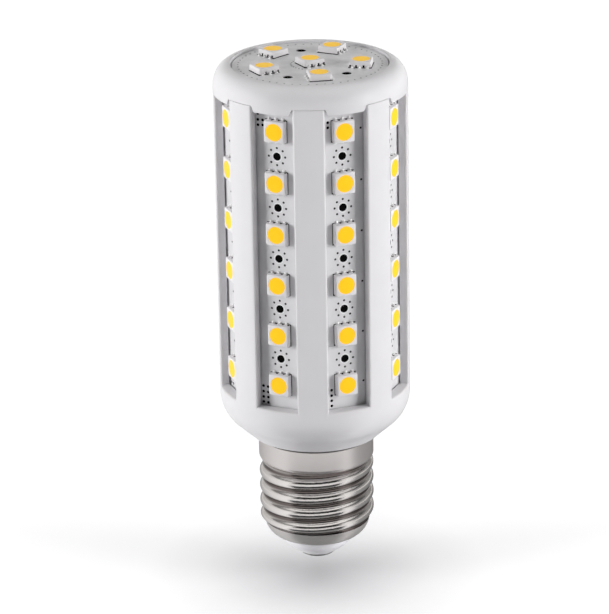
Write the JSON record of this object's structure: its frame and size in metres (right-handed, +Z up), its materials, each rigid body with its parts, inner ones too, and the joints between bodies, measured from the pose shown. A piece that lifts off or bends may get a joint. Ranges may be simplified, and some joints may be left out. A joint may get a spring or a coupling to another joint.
{
  "type": "corn led bulb",
  "caption": "White corn LED bulb: upright LED strips between moulded ribs all round, LEDs on the round top face, a rounded base and a metal screw cap.",
  "frame": {"origin": "centre of the contact's bottom face, the lowest point of the screw cap", "axes": "+Z up the bulb's axis, from the screw cap to the top face; -Y is the front, where a rib stands"},
  "size_m": [0.0434, 0.0434, 0.1188],
  "materials": {
    "housing_plastic": "smooth white moulding",
    "board_mask": "white solder mask",
    "package_plastic": "white moulding",
    "phosphor": "yellow silicone",
    "cap_metal": "nickel plated, satin skirt and polished thread",
    "insulator_plastic": "pale moulding",
    "contact_metal": "bright nickel plating",
    "driver_laminate": "paper laminate",
    "film_case": "epoxy case",
    "can_sleeve": "shrunk sleeve",
    "moulded_black": "moulded epoxy",
    "resistor_body": "lacquer",
    "wire_brown": "insulation",
    "wire_blue": "insulation",
    "wire_red": "insulation",
    "wire_black": "insulation"
  },
  "bodies": {
    "root": {"housing": "housing_plastic", "top_ring": "housing_plastic", "led_board_1": "board_mask", "led_packages_1": "package_plastic", "phosphor_1": "phosphor", "led_board_2": "board_mask", "led_packages_2": "package_plastic", "phosphor_2": "phosphor", "led_board_3": "board_mask", "led_packages_3": "package_plastic", "phosphor_3": "phosphor", "led_board_4": "board_mask", "led_packages_4": "package_plastic", "phosphor_4": "phosphor", "led_board_5": "board_mask", "led_packages_5": "package_plastic", "phosphor_5": "phosphor", "led_board_6": "board_mask", "led_packages_6": "package_plastic", "phosphor_6": "phosphor", "led_board_7": "board_mask", "led_packages_7": "package_plastic", "phosphor_7": "phosphor", "led_board_8": "board_mask", "led_packages_8": "package_plastic", "phosphor_8": "phosphor", "top_board": "board_mask", "top_led_packages": "package_plastic", "top_phosphor": "phosphor", "screw_shell": "cap_metal", "insulator": "insulator_plastic", "centre_contact": "contact_metal", "driver_board": "driver_laminate", "film_capacitor": "film_case", "smoothing_capacitor": "can_sleeve", "bridge_rectifier": "moulded_black", "inrush_resistor": "resistor_body", "bleeder_resistor": "resistor_body", "live_wire": "wire_brown", "neutral_wire": "wire_blue", "led_wire_positive": "wire_red", "led_wire_negative": "wire_black"}
  },
  "joints": []
}
